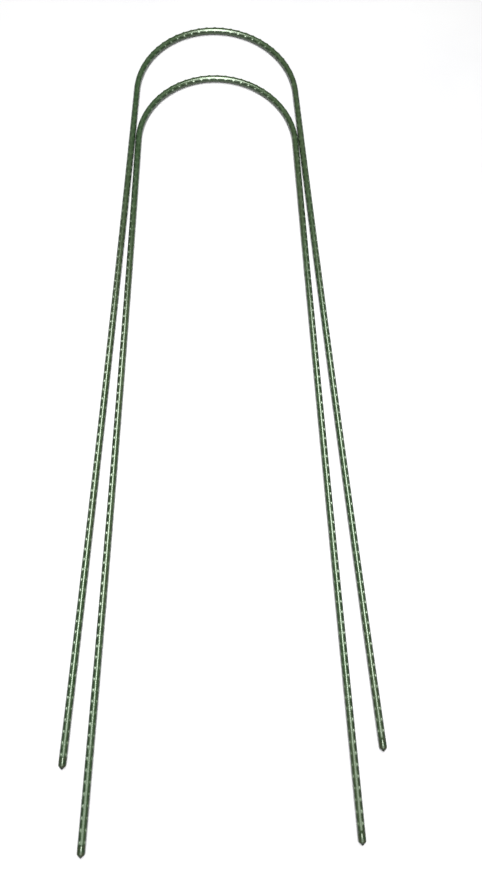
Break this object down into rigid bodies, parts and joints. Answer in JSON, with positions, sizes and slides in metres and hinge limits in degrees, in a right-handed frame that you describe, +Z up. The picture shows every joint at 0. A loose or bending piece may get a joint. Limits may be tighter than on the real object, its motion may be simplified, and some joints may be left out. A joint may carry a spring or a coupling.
{
  "type": "garden support hoops",
  "caption": "Slender U-shaped garden hoops of green plastic-coated steel tube with pointed feet, lying flat and nested one inside the other.",
  "frame": {"origin": "on the ground, under the middle of the pair's box, as the hoops lie flat", "axes": "+Z up from the ground the hoops lie on; +Y along the hoops, from their feet to their crowns; +X to the right as seen from the feet. In use a hoop is turned up a quarter turn about X, so that its crown is on top and its feet are in the ground."},
  "size_m": [0.4582, 1.385, 0.011],
  "materials": {
    "coating": "grey-green polyethylene with rows of raised grip nubs, semi-gloss",
    "end_cap": "darker olive-green moulded polyethylene, semi-gloss",
    "steel": "bare steel tube, sealed inside the coating"
  },
  "bodies": {
    "front_hoop": {"front_steel_tube": "steel", "front_plastic_coating": "coating", "front_left_end_cap": "end_cap", "front_right_end_cap": "end_cap"},
    "rear_hoop": {"rear_steel_tube": "steel", "rear_plastic_coating": "coating", "rear_left_end_cap": "end_cap", "rear_right_end_cap": "end_cap"}
  },
  "joints": [
    {"name": "rear_hoop_lift", "type": "slide", "parent": "front_hoop", "child": "rear_hoop", "axis": [0, 0, 1], "range_m": [0, 0.15]}
  ]
}
